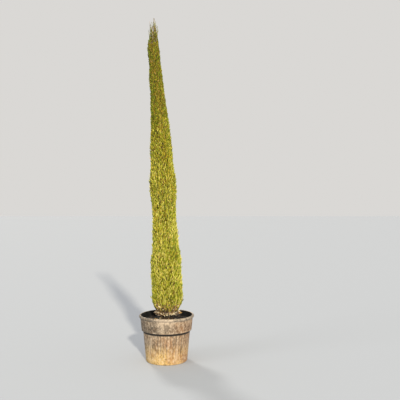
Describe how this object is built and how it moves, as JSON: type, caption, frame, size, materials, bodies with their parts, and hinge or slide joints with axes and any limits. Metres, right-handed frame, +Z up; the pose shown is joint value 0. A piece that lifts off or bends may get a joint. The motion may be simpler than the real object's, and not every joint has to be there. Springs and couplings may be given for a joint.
{
  "type": "potted italian cypress tree",
  "caption": "Slender evergreen column of upright scale foliage on one leaning trunk, growing in a round plastic nursery pot with a wide collar.",
  "frame": {"origin": "centre of the pot's flat underside, on the level that the pot stands on", "axes": "+Z up; the side that faces -Y is the front, and the trunk leans towards -X"},
  "size_m": [0.544, 0.544, 3.39],
  "materials": {
    "foliage": "matt, fine scale foliage",
    "dry_foliage": "matt, dead brown foliage",
    "bark": "rough, shallow upright furrows",
    "potting_mix": "rough, dark and moist",
    "pot": "weathered and dusty"
  },
  "bodies": {
    "root": {"dry_skirt_back": "dry_foliage", "dry_skirt_front": "dry_foliage", "foliage_1_1": "foliage", "foliage_1_2": "foliage", "foliage_1_3": "foliage", "foliage_1_4": "foliage", "foliage_1_5": "foliage", "foliage_2_1": "foliage", "foliage_2_2": "foliage", "foliage_2_3": "foliage", "foliage_2_4": "foliage", "foliage_2_5": "foliage", "foliage_3_1": "foliage", "foliage_3_2": "foliage", "foliage_3_3": "foliage", "foliage_3_4": "foliage", "foliage_4_1": "foliage", "foliage_4_2": "foliage", "foliage_4_3": "foliage", "foliage_4_4": "foliage", "foliage_5_1": "foliage", "foliage_5_2": "foliage", "foliage_5_3": "foliage", "foliage_5_4": "foliage", "foliage_6_1": "foliage", "foliage_6_2": "foliage", "foliage_6_3": "foliage", "foliage_7_1": "foliage", "foliage_7_2": "foliage", "leader_back": "bark", "leader_left": "bark", "leader_right": "bark", "low_bough_1": "bark", "low_bough_2": "bark", "low_bough_3": "bark", "low_bough_4": "bark", "low_bough_5": "bark", "low_bough_6": "bark", "pot": "pot", "soil": "potting_mix", "trunk": "bark"}
  },
  "joints": []
}
